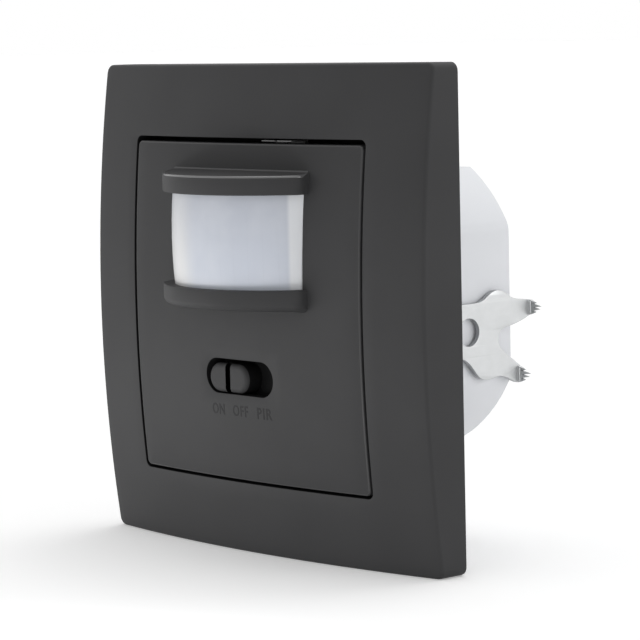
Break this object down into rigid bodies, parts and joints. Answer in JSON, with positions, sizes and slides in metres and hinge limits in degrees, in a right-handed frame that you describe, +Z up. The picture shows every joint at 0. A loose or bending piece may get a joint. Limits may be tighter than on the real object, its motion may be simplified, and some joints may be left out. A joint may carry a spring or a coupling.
{
  "type": "motion sensor light switch",
  "caption": "Flush wall switch with a curved infrared lens in a square cover, a slide switch, and a round housing with spreader claws.",
  "frame": {"origin": "midway between the two box screws, on the wall plane", "axes": "+Z up, +X to the viewer's right, -Y out of the wall towards the viewer"},
  "size_m": [0.086, 0.0555, 0.086],
  "materials": {
    "anthracite_plastic": "satin",
    "lens_plastic": "milky",
    "black_plastic": "matte",
    "white_plastic": "satin",
    "zinc_steel": "zinc plated",
    "screw_steel": "zinc plated",
    "circuit_board": "solder mask",
    "sensor_metal": "satin",
    "filter_glass": "dark",
    "sensor_face": "satin",
    "trimmer_blue": "satin",
    "relay_shell": "satin",
    "capacitor_shell": "satin",
    "capacitor_sleeve": "satin",
    "varistor_coat": "satin",
    "resistor_coat": "satin",
    "terminal_plastic": "matte",
    "terminal_brass": "nickel free"
  },
  "bodies": {
    "root": {"support_plate": "zinc_steel", "plate_screws": "screw_steel", "housing": "white_plastic", "rear_cap": "white_plastic", "sensor_board": "circuit_board", "sensor_board_screws": "screw_steel", "pyro_base": "sensor_metal", "pyro_can": "sensor_metal", "pyro_filter": "filter_glass", "light_sensor": "sensor_face", "control_chip": "black_plastic", "switch_shell": "sensor_metal", "switch_base": "black_plastic", "time_trimmer": "trimmer_blue", "lux_trimmer": "trimmer_blue", "board_link": "black_plastic", "main_board": "circuit_board", "main_board_screws": "screw_steel", "relay": "relay_shell", "film_capacitor": "capacitor_shell", "smoothing_capacitor": "capacitor_sleeve", "varistor": "varistor_coat", "fuse": "black_plastic", "diodes": "black_plastic", "resistors": "resistor_coat", "terminal_block": "terminal_plastic", "terminal_clamps": "terminal_brass", "terminal_screws": "screw_steel"},
    "cover": {"centre_cover": "anthracite_plastic", "fresnel_lens": "lens_plastic", "lens_retainer": "black_plastic", "retainer_screws": "screw_steel"},
    "frame": {"cover_frame": "anthracite_plastic"},
    "knob": {"slide_knob": "anthracite_plastic"},
    "actuator": {"switch_actuator": "black_plastic"},
    "time_adjuster": {"time_rotor": "white_plastic"},
    "lux_adjuster": {"lux_rotor": "white_plastic"},
    "claw_screw_right": {"claw_screw_right": "screw_steel"},
    "claw_screw_left": {"claw_screw_left": "screw_steel"},
    "claw_right": {"claw_right": "zinc_steel"},
    "claw_left": {"claw_left": "zinc_steel"}
  },
  "joints": [
    {"name": "cover_pull", "type": "slide", "parent": "root", "child": "cover", "axis": [0, -1, 0], "range_m": [0, 0.04]},
    {"name": "frame_pull", "type": "slide", "parent": "root", "child": "frame", "axis": [0, -1, 0], "range_m": [0, 0.02]},
    {"name": "knob_slide", "type": "slide", "parent": "cover", "child": "knob", "axis": [1, 0, 0], "range_m": [0, 0.006]},
    {"name": "actuator_slide", "type": "slide", "parent": "root", "child": "actuator", "axis": [1, 0, 0], "range_m": [0, 0.006]},
    {"name": "time_turn", "type": "hinge", "parent": "root", "child": "time_adjuster", "pos_m": [-0.008, -0.00115, -0.0198], "axis": [0, 1, 0], "range_deg": [-135, 135]},
    {"name": "lux_turn", "type": "hinge", "parent": "root", "child": "lux_adjuster", "pos_m": [0.008, -0.00115, -0.0198], "axis": [0, 1, 0], "range_deg": [-135, 135]},
    {"name": "claw_screw_right_turn", "type": "hinge", "parent": "root", "child": "claw_screw_right", "pos_m": [0.0235, 0, -0.0044], "axis": [0, 1, 0], "range_deg": [0, 880]},
    {"name": "claw_screw_left_turn", "type": "hinge", "parent": "root", "child": "claw_screw_left", "pos_m": [-0.0235, 0, -0.0044], "axis": [0, 1, 0], "range_deg": [0, 880]},
    {"name": "claw_right_swing", "type": "hinge", "parent": "root", "child": "claw_right", "pos_m": [0.0176, 0.0036, -0.0043], "axis": [0, 0, -1], "range_deg": [0, 12]},
    {"name": "claw_left_swing", "type": "hinge", "parent": "root", "child": "claw_left", "pos_m": [-0.0176, 0.0036, -0.0043], "axis": [0, 0, 1], "range_deg": [0, 12]}
  ],
  "couplings": [
    {"joint": "frame_pull", "follows": "cover_pull", "ratio": 0.5},
    {"joint": "actuator_slide", "follows": "knob_slide", "ratio": 1},
    {"joint": "claw_right_swing", "follows": "claw_screw_right_turn", "ratio": 0.01363},
    {"joint": "claw_left_swing", "follows": "claw_screw_left_turn", "ratio": 0.01363}
  ]
}
